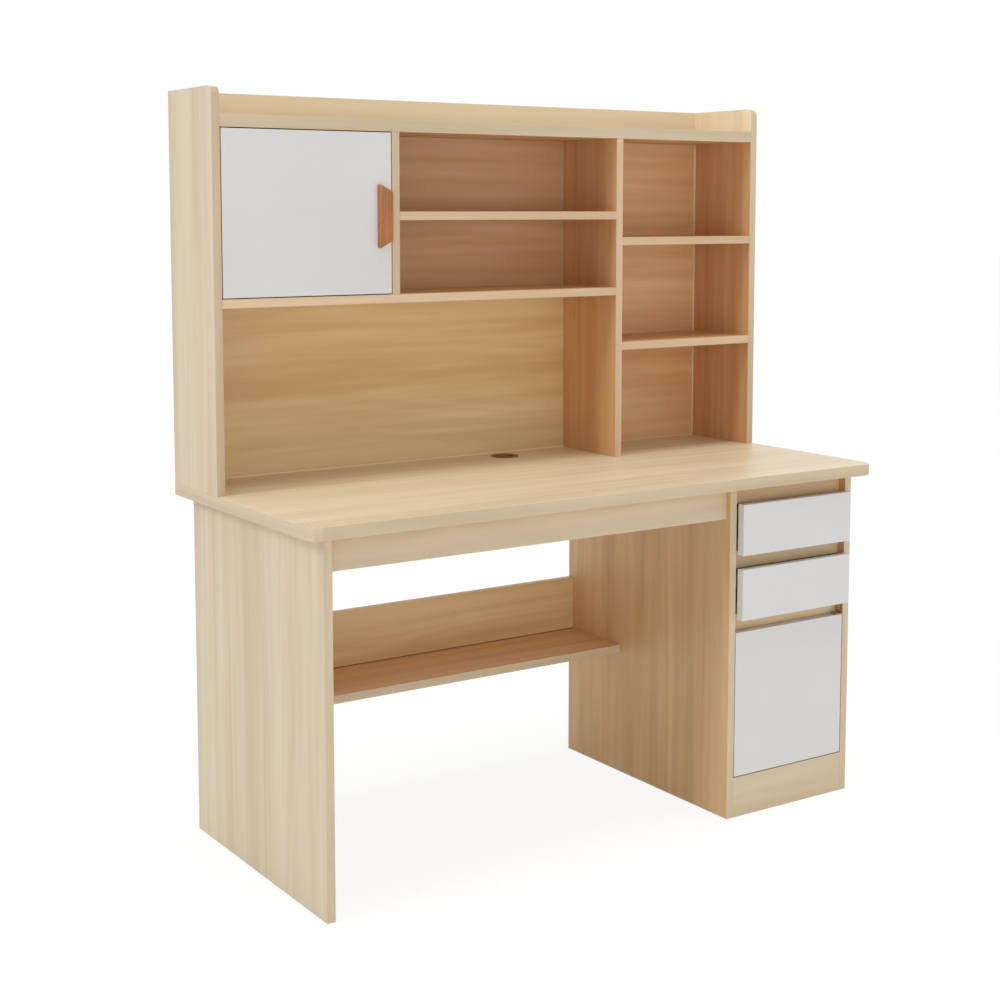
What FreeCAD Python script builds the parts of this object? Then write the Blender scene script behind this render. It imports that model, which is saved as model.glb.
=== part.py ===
import FreeCAD, Part
import os
import re

# Student desk with a shelf hutch: flat boards, two drawers, two doors and their fittings.
# +X runs to the right along the desk, +Y to the back and +Z up. The origin is on the floor
# under the middle of the desktop. Both drawers stand a little open, as stored.

# Driving sizes in millimetres.
SIZES = {
    # desk
    "desk_length": 1400,
    "desk_depth": 610,
    "desk_height": 745,
    "desktop_thickness": 25,
    "desktop_corner_radius": 26,
    "board": 18,
    "edge_radius": 0.8,
    "side_overhang": 40,
    "front_overhang": 30,
    "apron_height": 67,
    "apron_setback": 12,
    "foot_shelf_height": 302,
    "foot_shelf_depth": 186,
    "modesty_height": 143,
    "back_thickness": 5,
    # cable grommet
    "grommet_from_divider": 204,
    "grommet_from_back": 62,
    "grommet_flange_radius": 31.5,
    "grommet_flange_height": 2,
    "grommet_sleeve_radius": 26.5,
    "grommet_sleeve_length": 22,
    "grommet_bore_radius": 24,
    # pedestal
    "pedestal_width": 354,
    "plinth_height": 88,
    "top_finger_gap": 34,
    "finger_gap": 30,
    "rail_lap": 4.5,
    "swing_room": 6,
    "stop_gap": 1,
    "pedestal_back_inset": 30,
    # hutch
    "hutch_height": 800,
    "hutch_depth": 210,
    "hutch_corner_radius": 18,
    "tray_depth": 54,
    "top_board_thickness": 25,
    "side_bay_width": 382,
    "back_panel_lift": 3,
    # doors and drawer fronts
    "front_thickness": 18,
    "door_gap": 2,
    "drawer_front_height": 110,
    "drawer_rest": 20,
    # drawer boxes
    "drawer_side": 15,
    "drawer_side_height": 80,
    "drawer_side_lift": 12,
    "drawer_box_length": 440,
    "drawer_bottom_thickness": 5,
    "drawer_bottom_lift": 8,
    "groove_depth": 6,
    # telescopic slides
    "slide_space": 12.7,
    "slide_height": 35,
    "slide_length": 430,
    "slide_setback": 3,
    "slide_gauge": 1.2,
    "slide_play": 0.3,
    "outer_rail_reach": 9,
    "middle_rail_from": 3,
    "middle_rail_to": 11,
    "inner_rail_from": 5,
    # door pivots and catches
    "pivot_inset": 12,
    "pivot_depth": 6,
    "pin_radius": 2.5,
    "pin_grip": 12,
    "pin_play": 0.05,
    "bush_radius": 4,
    "bush_depth": 8,
    "bush_flange_radius": 5.5,
    "thrust_gap": 0.3,
    "bracket_gap": 0.5,
    "bracket_thickness": 2,
    "bracket_width": 16,
    "bracket_height": 22,
    "bracket_setback": 1,
    "bracket_margin": 6,
    "catch_length": 40,
    "catch_depth": 14,
    "catch_height": 12,
    "catch_inset": 30,
    "strike_thickness": 1,
    # door pull
    "pull_length": 134,
    "pull_taper": 17,
    "pull_width": 33,
    "pull_drop": 6,
    "pull_thickness": 10,
    "pull_edge_radius": 3,
    "pull_screw_radius": 2,
    "pull_screw_grip": 6,
    "pull_screw_head_radius": 4,
    "pull_screw_head_height": 2,
    # cam fittings and dowels
    "cam_radius": 7.4,
    "cam_height": 12,
    "cam_recess": 0.5,
    "cam_offset": 24,
    "cam_bolt_depth": 9,
    "cam_slot_width": 1.6,
    "cam_slot_depth": 1.5,
    "bolt_radius": 3,
    "bolt_grip": 10,
    "bolt_neck_radius": 2,
    "dowel_radius": 4,
    "dowel_face_depth": 11,
    "dowel_edge_depth": 19,
    # screws
    "screw_radius": 1.75,
    "screw_length": 10,
    "screw_head_radius": 3.5,
    "screw_head_height": 1.5,
    "box_screw_radius": 2.5,
    "box_screw_length": 40,
    "box_screw_head_radius": 4.5,
    "box_screw_head_height": 2,
    # fits and cuts
    "fit_gap": 0.1,
    "overrun": 2,
}

# Undersides of the hutch shelves, as shares of the clear height that each one divides.
LONG_SHELF_SHARE = 0.5118
MIDDLE_SHELF_SHARE = 0.4581
RIGHT_SHELF_SHARES = (0.3384, 0.6685)

# Places worked out from the driving sizes.
PLACES = {
    "left_edge": "-desk_length / 2",
    "right_edge": "desk_length / 2",
    "front_edge": "-desk_depth / 2",
    "back_edge": "desk_depth / 2",
    "underside": "desk_height - desktop_thickness",
    "panel_front": "front_edge + front_overhang",
    "leg_outer": "left_edge + side_overhang",
    "leg_inner": "leg_outer + board",
    "apron_front": "panel_front + apron_setback",
    "apron_foot": "underside - apron_height",
    "modesty_front": "back_edge - board",
    "foot_shelf_foot": "foot_shelf_height - board",
    "foot_shelf_front": "modesty_front - foot_shelf_depth",
    "modesty_top": "foot_shelf_foot + modesty_height",
    "grommet_x": "main_divider_left - grommet_from_divider",
    "grommet_y": "back_edge - grommet_from_back",
    "pedestal_right": "right_edge - side_overhang",
    "pedestal_left": "pedestal_right - pedestal_width",
    "bay_left": "pedestal_left + board",
    "bay_right": "pedestal_right - board",
    "plinth_back": "panel_front + board",
    "pedestal_bottom_foot": "plinth_height - board",
    "pedestal_back_front": "back_edge - pedestal_back_inset - back_thickness",
    "rail_front": "panel_front + front_thickness + stop_gap",
    "lower_rail_front": "rail_front + swing_room",
    "upper_front_top": "underside - top_finger_gap",
    "upper_front_foot": "upper_front_top - drawer_front_height",
    "lower_front_top": "upper_front_foot - finger_gap",
    "lower_front_foot": "lower_front_top - drawer_front_height",
    "cabinet_door_top": "lower_front_foot - finger_gap",
    "cabinet_door_foot": "plinth_height + door_gap",
    "cabinet_door_left": "bay_left + door_gap",
    "cabinet_door_right": "bay_right - door_gap",
    "cabinet_pivot_x": "cabinet_door_right - pivot_inset",
    "cabinet_pivot_y": "panel_front + pivot_depth",
    "lower_rail_foot": "cabinet_door_top - rail_lap",
    "bracket_front": "panel_front + bracket_setback",
    "bracket_foot": "cabinet_door_top + bracket_gap",
    "bracket_top": "bracket_foot + bracket_height",
    "hutch_front": "back_edge - hutch_depth",
    "hutch_top": "desk_height + hutch_height",
    "shelf_back": "back_edge - back_thickness",
    "hutch_left_inner": "left_edge + board",
    "hutch_right_inner": "right_edge - board",
    "tray_floor": "hutch_top - tray_depth",
    "top_board_foot": "tray_floor - top_board_thickness",
    "hutch_clear": "top_board_foot - desk_height",
    "long_shelf_foot": f"desk_height + hutch_clear * {LONG_SHELF_SHARE}",
    "long_shelf_top": "long_shelf_foot + board",
    "middle_shelf_foot": f"long_shelf_top + (top_board_foot - long_shelf_top) * {MIDDLE_SHELF_SHARE}",
    "right_lower_foot": f"desk_height + hutch_clear * {RIGHT_SHELF_SHARES[0]}",
    "right_upper_foot": f"desk_height + hutch_clear * {RIGHT_SHELF_SHARES[1]}",
    "short_divider_left": "hutch_left_inner + side_bay_width",
    "short_divider_right": "short_divider_left + board",
    "main_divider_right": "hutch_right_inner - side_bay_width",
    "main_divider_left": "main_divider_right - board",
    "hutch_door_left": "hutch_left_inner + door_gap",
    "hutch_door_right": "short_divider_left - door_gap",
    "hutch_door_foot": "long_shelf_top + door_gap",
    "hutch_door_top": "top_board_foot - door_gap",
    "hutch_door_back": "hutch_front + front_thickness",
    "hutch_pivot_x": "hutch_door_left + pivot_inset",
    "hutch_pivot_y": "hutch_front + pivot_depth",
    "hutch_catch_right": "short_divider_left - catch_inset",
    "hutch_catch_left": "hutch_catch_right - catch_length",
    "cabinet_catch_left": "bay_left + catch_inset",
    "cabinet_catch_right": "cabinet_catch_left + catch_length",
    "catch_set": "front_thickness + strike_thickness + thrust_gap",
    "pin_reach": "door_gap + bush_depth - thrust_gap",
    "drawer_front_face": "panel_front - drawer_rest",
    "drawer_box_front": "drawer_front_face + front_thickness",
    "drawer_box_back": "drawer_box_front + drawer_box_length",
    "drawer_left": "bay_left + slide_space",
    "drawer_right": "bay_right - slide_space",
    "drawer_inner_left": "drawer_left + drawer_side",
    "drawer_inner_right": "drawer_right - drawer_side",
    "slide_front": "panel_front + front_thickness + slide_setback",
    "rail_step": "slide_gauge + slide_play",
}

# Places of the fittings along the boards, as shares of the board's length.
DESKTOP_CAM_SHARES = (0.2, 0.8)
DESKTOP_DOWEL_SHARES = (0.1, 0.5)
EDGE_CAM_SHARES = (0.22, 0.78)
EDGE_DOWEL_SHARES = (0.12, 0.88)
HUTCH_FOOT_SHARES = (0.2, 0.7)
APRON_CAM_SHARE = 0.35
APRON_DOWEL_SHARE = 0.75
BACK_SCREW_SHARES = (0.08, 0.36, 0.64, 0.92)
RAIL_SCREW_SHARES = (0.2, 0.8)
BOX_SCREW_SHARES = (0.1, 0.85)
BRACKET_SCREW_SHARES = (0.42, 0.78)
PULL_SCREW_SHARES = (0.3, 0.7)
MIDDLE_SHARE = 0.5

# Share of a board's diagonal within which two places count as one.
SNAP_SHARE = 1e-6

AXES = {
    "+x": FreeCAD.Vector(1, 0, 0),
    "-x": FreeCAD.Vector(-1, 0, 0),
    "+y": FreeCAD.Vector(0, 1, 0),
    "-y": FreeCAD.Vector(0, -1, 0),
    "+z": FreeCAD.Vector(0, 0, 1),
    "-z": FreeCAD.Vector(0, 0, -1),
}
ACROSS = {"x": "+y", "y": "+z", "z": "+x"}

doc = FreeCAD.newDocument("student_desk")
sheet = doc.addObject("Spreadsheet::Sheet", "Sizes")
for row, (alias, value) in enumerate(SIZES.items(), 1):
    sheet.set(f"A{row}", alias)
    sheet.set(f"B{row}", str(value))
    sheet.setAlias(f"B{row}", alias)
doc.recompute()

parts = []
holes = {}
fittings = {}


def spelled(formula):
    """A formula in plain names, rewritten to read the sheet."""
    def word(match):
        name = match.group(0)
        if name in PLACES:
            return f"({spelled(PLACES[name])})"
        if name not in SIZES:
            raise KeyError(name)
        return f"Sizes.{name}"
    return re.sub(r"[a-z_]+", word, formula)


def bind(thing, **formulas):
    """Tie properties of an object to formulas."""
    for prop, formula in formulas.items():
        thing.setExpression(prop, spelled(formula))


def place(thing, at):
    """Tie an object's place to three formulas."""
    for letter, formula in zip("xyz", at):
        thing.setExpression(f"Placement.Base.{letter}", spelled(formula))


def turn(thing, out, along):
    """Turn an object so that its Z points out and its X points along."""
    z_axis = AXES[out]
    x_axis = AXES[along]
    rotation = FreeCAD.Rotation(x_axis, z_axis.cross(x_axis), z_axis, "ZXY")
    thing.Placement = FreeCAD.Placement(FreeCAD.Vector(), rotation)


def between(low, high, share):
    """The place at a share of the way between two places."""
    return f"({low}) + (({high}) - ({low})) * {share}"


def block(name, x, y, z):
    """A rectangular solid between named places."""
    solid = doc.addObject("Part::Box", name)
    spans = (x, y, z)
    for prop, (low, high) in zip(("Length", "Width", "Height"), spans):
        bind(solid, **{prop: f"({high}) - ({low})"})
    place(solid, [low for low, high in spans])
    return solid


def rod(name, radius, low, high, axis="+z", at=("0", "0", "0")):
    """A cylinder from low to high along an axis through a point."""
    solid = doc.addObject("Part::Cylinder", name)
    bind(solid, Radius=radius, Height=f"({high}) - ({low})")
    turn(solid, axis, ACROSS[axis[1]])
    start = list(at)
    index = "xyz".index(axis[1])
    start[index] = f"({at[index]}) {axis[0]} ({low})"
    place(solid, start)
    return solid


def fuse(name, solids):
    joined = doc.addObject("Part::MultiFuse", name)
    joined.Shapes = solids
    return joined


def group(name, solids):
    gathered = doc.addObject("Part::Compound", name)
    gathered.Links = solids
    return gathered


def cut(name, base, tools):
    result = doc.addObject("Part::Cut", name)
    result.Base = base
    result.Tool = tools[0] if len(tools) == 1 else group(f"{name}_tools", tools)
    return result


def keep(label, solid):
    """Count an object among the sub-parts."""
    solid.Label = label
    parts.append(solid)


def slab_body(label, x, y, z):
    """A body that starts as a plain slab between named places."""
    body = doc.addObject("PartDesign::Body", f"{label}_blank")
    slab = body.newObject("PartDesign::AdditiveBox", f"{label}_slab")
    for prop, (low, high) in zip(("Length", "Width", "Height"), (x, y, z)):
        bind(slab, **{prop: f"({high}) - ({low})"})
    place(body, (x[0], y[0], z[0]))
    doc.recompute()
    return body, slab


def edges_at(feature, limits):
    """Names of the edges that lie wholly at the given limits of a feature's box."""
    box = feature.Shape.BoundBox
    snap = box.DiagonalLength * SNAP_SHARE
    found = []
    for number, edge in enumerate(feature.Shape.Edges, 1):
        if all(abs(getattr(vertex.Point, axis) - getattr(box, limit)) < snap
               for vertex in edge.Vertexes for axis, limit in limits):
            found.append(f"Edge{number}")
    return found


def ease(body, base, radius, edges):
    """Round edges of a body's last feature."""
    fillet = body.newObject("PartDesign::Fillet", f"{base.Name}_eased")
    fillet.Base = (base, edges)
    bind(fillet, Radius=radius)
    body.Tip = fillet
    doc.recompute()
    return fillet


def board(label, x, y, z):
    """A sub-part that is a flat board with eased edges, less the holes and grooves that belong to it."""
    body, slab = slab_body(label, x, y, z)
    ease(body, slab, "edge_radius", edges_at(slab, []))
    keep(label, cut(label, body, holes[label]) if label in holes else body)


def copy_of(master, at, out, along):
    """A copy of a fitting, its Z turned to point out and its X along."""
    link = doc.addObject("App::Link", f"{master.Name}_copy")
    link.LinkedObject = master
    turn(link, out, along)
    place(link, at)
    return link


def hole(host, tool):
    holes.setdefault(host, []).append(tool)


def fitting(node, solid):
    fittings.setdefault(node, []).append(solid)


def rounded_board(label, x, y, z, radius, corners, flat):
    """A board with some corners rounded and the outlines of its two flat faces eased."""
    body, slab = slab_body(label, x, y, z)
    ends = {
        "left": ("x", "XMin"),
        "right": ("x", "XMax"),
        "front": ("y", "YMin"),
        "top": ("z", "ZMax"),
    }
    rounded = ease(body, slab, radius, [
        edge for corner in corners for edge in edges_at(slab, [ends[end] for end in corner])])
    side = flat.upper()
    ease(body, rounded, "edge_radius",
         edges_at(rounded, [(flat, f"{side}Min")]) + edges_at(rounded, [(flat, f"{side}Max")]))
    keep(label, cut(label, body, holes[label]))


# Masters of the repeated fittings. A cam fitting's bolt lies along its X, from the board that
# it is screwed into (X below zero) to the disc, whose bore opens on the face at its +Z.
cam_foot = "cam_bolt_depth - cam_recess - cam_height"
cam_head = "cam_bolt_depth - cam_recess"
cam_at = ("cam_offset", "0", "0")
cam_master = cut(
    "cam_disc",
    rod("cam_disc_blank", "cam_radius", cam_foot, cam_head, at=cam_at),
    [
        rod("cam_disc_mouth", "bolt_radius + fit_gap", "cam_offset - cam_radius - overrun",
            "cam_offset + bolt_radius + fit_gap", "+x"),
        block("cam_disc_slot", ("cam_offset - cam_radius / 2", "cam_offset + cam_radius / 2"),
              ("-cam_slot_width / 2", "cam_slot_width / 2"),
              (f"{cam_head} - cam_slot_depth", f"{cam_head} + overrun")),
    ],
)
bolt_master = fuse("cam_bolt", [
    rod("cam_bolt_shank", "bolt_radius", "-bolt_grip", "cam_offset - cam_radius", "+x"),
    rod("cam_bolt_neck", "bolt_neck_radius", "-bolt_grip", "cam_offset", "+x"),
    rod("cam_bolt_head", "bolt_radius", "cam_offset - bolt_radius", "cam_offset + bolt_radius", "+x"),
])
cam_pocket = fuse("cam_pocket", [
    rod("cam_bore", "cam_radius + fit_gap", f"{cam_foot} - fit_gap", "cam_bolt_depth + overrun", at=cam_at),
    rod("cam_channel", "bolt_radius + fit_gap", "-overrun", "cam_offset", "+x"),
])
bolt_pilot = group("bolt_pilot", [
    rod("bolt_pilot_bore", "bolt_radius + fit_gap", "-bolt_grip - fit_gap", "overrun", "+x"),
])
dowel_master = group("dowel", [rod("dowel_rod", "dowel_radius", "-dowel_face_depth", "dowel_edge_depth")])
dowel_bore = group("dowel_bore", [
    rod("dowel_bore_rod", "dowel_radius + fit_gap", "-dowel_face_depth - fit_gap",
        "dowel_edge_depth + fit_gap"),
])


def screw_masters(name, radius, length, head_radius, head_height):
    """A round-headed screw with its seat at zero, the bore for it, and the bore with its head sunk."""
    screw = fuse(name, [
        rod(f"{name}_shank", radius, f"-({length})", head_height),
        rod(f"{name}_head", head_radius, "0", head_height),
    ])
    shank_bore = rod(f"{name}_shank_bore", f"{radius} + fit_gap", f"-({length}) - fit_gap", "overrun")
    head_bore = rod(f"{name}_head_bore", f"{head_radius} + fit_gap", "0", f"{head_height} + overrun")
    return screw, group(f"{name}_bore", [shank_bore]), fuse(f"{name}_sunk_bore", [shank_bore, head_bore])


screw_master, screw_bore, screw_sunk_bore = screw_masters(
    "screw", "screw_radius", "screw_length", "screw_head_radius", "screw_head_height")
box_screw_master, box_screw_bore, box_screw_sunk_bore = screw_masters(
    "box_screw", "box_screw_radius", "box_screw_length", "box_screw_head_radius", "box_screw_head_height")
pull_screw_master, pull_screw_bore, pull_screw_sunk_bore = screw_masters(
    "pull_screw", "pull_screw_radius", "front_thickness - pull_screw_head_height + pull_screw_grip",
    "pull_screw_head_radius", "pull_screw_head_height")

# A pivot bush sits in a carcass board with its flange at +Z; a pivot pin stands out of a door edge.
bush_master = cut(
    "pivot_bush",
    fuse("pivot_bush_blank", [
        rod("bush_sleeve", "bush_radius", "-bush_depth", "door_gap - thrust_gap"),
        rod("bush_flange", "bush_flange_radius", "0", "door_gap - thrust_gap"),
    ]),
    [rod("bush_mouth", "pin_radius + pin_play", "-bush_depth - overrun", "door_gap + overrun")],
)
bush_seat = group("bush_seat", [rod("bush_seat_bore", "bush_radius + fit_gap", "-bush_depth", "overrun")])
pin_master = group("pivot_pin", [rod("pivot_pin_rod", "pin_radius", "-pin_grip", "pin_reach")])
pin_bore = group("pin_bore", [rod("pin_bore_rod", "pin_radius + fit_gap", "-pin_grip - fit_gap", "overrun")])


def add_cam(at, into, face, bolt_host, cam_host, disc_node="cam_discs", bolt_node="cam_bolts"):
    """A cam fitting that draws two boards together at a joint."""
    fitting(disc_node, copy_of(cam_master, at, face, into))
    fitting(bolt_node, copy_of(bolt_master, at, face, into))
    hole(cam_host, copy_of(cam_pocket, at, face, into))
    hole(bolt_host, copy_of(bolt_pilot, at, face, into))


def add_dowel(at, into, face_host, edge_host):
    """A dowel across a joint, its longer half in the second board's edge."""
    along = ACROSS[into[1]]
    fitting("dowels", copy_of(dowel_master, at, into, along))
    bore = copy_of(dowel_bore, at, into, along)
    hole(face_host, bore)
    hole(edge_host, bore)


def add_screw(node, at, out, hosts, master=screw_master, bore=screw_bore, sunk_bore=None):
    """A screw seated at a point with its head outwards; the first host takes a sunk head."""
    along = ACROSS[out[1]]
    fitting(node, copy_of(master, at, out, along))
    for number, host in enumerate(hosts):
        tool = sunk_bore if sunk_bore and number == 0 else bore
        hole(host, copy_of(tool, at, out, along))


def end_cams(host, left, right, y_places, z, face, left_host, right_host):
    """Cam fittings at both ends of a board that runs between two upright boards."""
    for y in y_places:
        add_cam((left, y, z), "+x", face, left_host, host)
        add_cam((right, y, z), "-x", face, right_host, host)


def end_dowels(host, left, right, places, left_host, right_host):
    """Dowels at both ends of a board that runs between two upright boards."""
    for y, z in places:
        add_dowel((left, y, z), "+x", left_host, host)
        add_dowel((right, y, z), "-x", right_host, host)


# Desktop on its three uprights.
for upright, x, face in (
    ("left_leg_panel", "leg_inner - cam_bolt_depth", "+x"),
    ("pedestal_left_panel", "bay_left - cam_bolt_depth", "+x"),
    ("pedestal_right_panel", "bay_right + cam_bolt_depth", "-x"),
):
    for share in DESKTOP_CAM_SHARES:
        add_cam((x, between("panel_front", "back_edge", share), "underside"), "-z", face, "desktop", upright)
    for share in DESKTOP_DOWEL_SHARES:
        add_dowel((x, between("panel_front", "back_edge", share), "underside"), "-z", "desktop", upright)

# Front apron, modesty panel and foot shelf between the leg and the pedestal.
knee = ("leg_inner", "pedestal_left")
knee_hosts = ("left_leg_panel", "pedestal_left_panel")
end_cams("front_apron", *knee, ["apron_front + board - cam_bolt_depth"],
         between("apron_foot", "underside", APRON_CAM_SHARE), "+y", *knee_hosts)
end_dowels("front_apron", *knee,
           [("apron_front + board / 2", between("apron_foot", "underside", APRON_DOWEL_SHARE))], *knee_hosts)
end_cams("modesty_panel", *knee, ["back_edge - cam_bolt_depth"],
         between("foot_shelf_foot", "modesty_top", APRON_CAM_SHARE), "+y", *knee_hosts)
end_dowels("modesty_panel", *knee,
           [("back_edge - board / 2", between("foot_shelf_foot", "modesty_top", APRON_DOWEL_SHARE))],
           *knee_hosts)
end_cams("foot_shelf", *knee,
         [between("foot_shelf_front", "modesty_front", share) for share in EDGE_CAM_SHARES],
         "foot_shelf_foot + cam_bolt_depth", "-z", *knee_hosts)
for share in EDGE_CAM_SHARES:
    add_dowel((between(*knee, share), "modesty_front", "foot_shelf_height - board / 2"), "-y",
              "modesty_panel", "foot_shelf")

# Pedestal boards between its two uprights.
bay = ("bay_left", "bay_right")
bay_hosts = ("pedestal_left_panel", "pedestal_right_panel")
end_cams("pedestal_bottom", *bay,
         [between("plinth_back", "pedestal_back_front", share) for share in EDGE_CAM_SHARES],
         "pedestal_bottom_foot + cam_bolt_depth", "-z", *bay_hosts)
plinth_dowels = [("panel_front + board / 2", between("0", "pedestal_bottom_foot", share))
                 for share in EDGE_CAM_SHARES]
end_dowels("pedestal_plinth", *bay, plinth_dowels, *bay_hosts)
rails = {
    "pedestal_top_rail": ("rail_front", "upper_front_top - rail_lap", "underside"),
    "pedestal_middle_rail": ("rail_front", "lower_front_top - rail_lap", "upper_front_foot + rail_lap"),
    "pedestal_lower_rail": ("lower_rail_front", "lower_rail_foot", "lower_front_foot + rail_lap"),
}
for label, (front, foot, top) in rails.items():
    end_dowels(label, *bay, [(f"{front} + board / 2", between(foot, top, MIDDLE_SHARE))], *bay_hosts)
for label, low, high in (
    ("pedestal_left_panel", "bay_left - groove_depth", "bay_left + overrun"),
    ("pedestal_right_panel", "bay_right - overrun", "bay_right + groove_depth"),
):
    hole(label, block(f"{label}_groove", (low, high),
                      ("pedestal_back_front - fit_gap", "pedestal_back_front + back_thickness + fit_gap"),
                      ("pedestal_bottom_foot - fit_gap", "underside + overrun")))

# Hutch on the desktop.
for upright, x in (
    ("hutch_left_side", "left_edge + board / 2"),
    ("hutch_main_divider", "main_divider_left + board / 2"),
    ("hutch_right_side", "right_edge - board / 2"),
):
    for share in HUTCH_FOOT_SHARES:
        add_dowel((x, between("hutch_front", "shelf_back", share), "desk_height"), "+z", "desktop", upright)
shelf_cam_ys = [between("hutch_front", "shelf_back", share) for share in EDGE_CAM_SHARES]
shelf_dowel_ys = [between("hutch_front", "shelf_back", share) for share in EDGE_DOWEL_SHARES]
end_cams("hutch_top_board", "hutch_left_inner", "hutch_right_inner", shelf_cam_ys,
         "tray_floor - cam_bolt_depth", "+z", "hutch_left_side", "hutch_right_side")
end_cams("hutch_long_shelf", "hutch_left_inner", "main_divider_left", shelf_cam_ys,
         "long_shelf_foot + cam_bolt_depth", "-z", "hutch_left_side", "hutch_main_divider")
for label, left, right, foot, left_host, right_host in (
    ("hutch_middle_shelf", "short_divider_right", "main_divider_left", "middle_shelf_foot",
     "hutch_short_divider", "hutch_main_divider"),
    ("hutch_right_upper_shelf", "main_divider_right", "hutch_right_inner", "right_upper_foot",
     "hutch_main_divider", "hutch_right_side"),
    ("hutch_right_lower_shelf", "main_divider_right", "hutch_right_inner", "right_lower_foot",
     "hutch_main_divider", "hutch_right_side"),
):
    shelf_dowels = [(y, f"{foot} + board / 2") for y in shelf_dowel_ys]
    end_dowels(label, left, right, shelf_dowels, left_host, right_host)
for y in shelf_dowel_ys:
    short_x = "short_divider_left + board / 2"
    add_dowel((short_x, y, "long_shelf_top"), "+z", "hutch_long_shelf", "hutch_short_divider")
    add_dowel((short_x, y, "top_board_foot"), "-z", "hutch_top_board", "hutch_short_divider")
    add_dowel(("main_divider_left + board / 2", y, "top_board_foot"), "-z", "hutch_top_board",
              "hutch_main_divider")
for label, low, high in (
    ("hutch_left_side", "hutch_left_inner - groove_depth", "hutch_left_inner + overrun"),
    ("hutch_right_side", "hutch_right_inner - overrun", "hutch_right_inner + groove_depth"),
):
    hole(label, block(f"{label}_rebate", (low, high), ("shelf_back - fit_gap", "back_edge + overrun"),
                      ("desk_height - overrun", "hutch_top + overrun")))
for shelf, right, z in (
    ("hutch_top_board", "hutch_right_inner", "tray_floor - top_board_thickness / 2"),
    ("hutch_long_shelf", "main_divider_left", "long_shelf_foot + board / 2"),
):
    for share in BACK_SCREW_SHARES:
        seat = (between("hutch_left_inner", right, share), "back_edge - screw_head_height", z)
        add_screw("back_panel_screws", seat, "+y", ("hutch_back_panel", shelf), sunk_bore=screw_sunk_bore)

# Door pivots: bushes in the carcass, pins in the door edges and a bracket over the cabinet door.
for at, out, host in (
    (("hutch_pivot_x", "hutch_pivot_y", "long_shelf_top"), "+z", "hutch_long_shelf"),
    (("hutch_pivot_x", "hutch_pivot_y", "top_board_foot"), "-z", "hutch_top_board"),
    (("cabinet_pivot_x", "cabinet_pivot_y", "plinth_height"), "+z", "pedestal_plinth"),
):
    fitting("pivot_bushes", copy_of(bush_master, at, out, "+x"))
    hole(host, copy_of(bush_seat, at, out, "+x"))
for at, out, node, host in (
    (("hutch_pivot_x", "hutch_pivot_y", "hutch_door_foot"), "-z", "hutch_door_pins", "hutch_door_panel"),
    (("hutch_pivot_x", "hutch_pivot_y", "hutch_door_top"), "+z", "hutch_door_pins", "hutch_door_panel"),
    (("cabinet_pivot_x", "cabinet_pivot_y", "cabinet_door_foot"), "-z", "cabinet_door_pins",
     "cabinet_door_panel"),
):
    fitting(node, copy_of(pin_master, at, out, "+x"))
    hole(host, copy_of(pin_bore, at, out, "+x"))
cabinet_pin_at = ("cabinet_pivot_x", "cabinet_pivot_y", "cabinet_door_top")
fitting("cabinet_door_pins", rod("cabinet_top_pin", "pin_radius", "-pin_grip",
                                 "bracket_gap + bracket_thickness + bracket_gap", at=cabinet_pin_at))
hole("cabinet_door_panel", copy_of(pin_bore, cabinet_pin_at, "+z", "+x"))
bracket_y = ("bracket_front", "bracket_front + bracket_width")
bracket_blank = fuse("cabinet_door_bracket_blank", [
    block("bracket_arm", ("cabinet_pivot_x - bracket_margin", "bay_right"), bracket_y,
          ("bracket_foot", "bracket_foot + bracket_thickness")),
    block("bracket_leaf", ("bay_right - bracket_thickness", "bay_right"), bracket_y,
          ("bracket_foot", "bracket_top")),
])
hole("cabinet_door_bracket", rod("bracket_eye", "pin_radius + pin_play", "-overrun",
                                 "bracket_gap + bracket_thickness + overrun", at=cabinet_pin_at))
for share in BRACKET_SCREW_SHARES:
    seat = ("bay_right - bracket_thickness", "bracket_front + bracket_width / 2",
            between("bracket_foot", "bracket_top", share))
    add_screw("carcass_screws", seat, "-x", ("cabinet_door_bracket", "pedestal_right_panel"))

# Door pull, screwed on through the hutch door.
pull_left = "hutch_door_right - pull_width"
pull_foot = f"{between('hutch_door_foot', 'hutch_door_top', MIDDLE_SHARE)} - pull_length / 2 - pull_drop"
for share in PULL_SCREW_SHARES:
    seat = ("hutch_door_right - pull_width / 2", "hutch_door_back - pull_screw_head_height",
            f"{pull_foot} + pull_length * {share}")
    add_screw("hutch_door_pull_screws", seat, "+y", ("hutch_door_panel", "hutch_door_pull"),
              pull_screw_master, pull_screw_bore, pull_screw_sunk_bore)


def slide_side(side, near, far):
    """The span between two distances from the pedestal wall on one side of the drawer bay."""
    if side == "left":
        return (f"bay_left + {near}", f"bay_left + {far}")
    return (f"bay_right - ({far})", f"bay_right - ({near})")


def channel(name, side, near, far, web_near, y, middle, half):
    """A pressed rail: a channel whose web lies next to the wall or next to the drawer."""
    outer = block(f"{name}_outer", slide_side(side, near, far), y,
                  (f"{middle} - ({half})", f"{middle} + ({half})"))
    if web_near:
        hollow = slide_side(side, f"{near} + slide_gauge", f"{far} + overrun")
    else:
        hollow = slide_side(side, f"{near} - overrun", f"{far} - slide_gauge")
    inner = block(f"{name}_hollow", hollow, (f"{y[0]} - overrun", f"{y[1]} + overrun"),
                  (f"{middle} - ({half}) + slide_gauge", f"{middle} + ({half}) - slide_gauge"))
    return outer, inner


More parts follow.
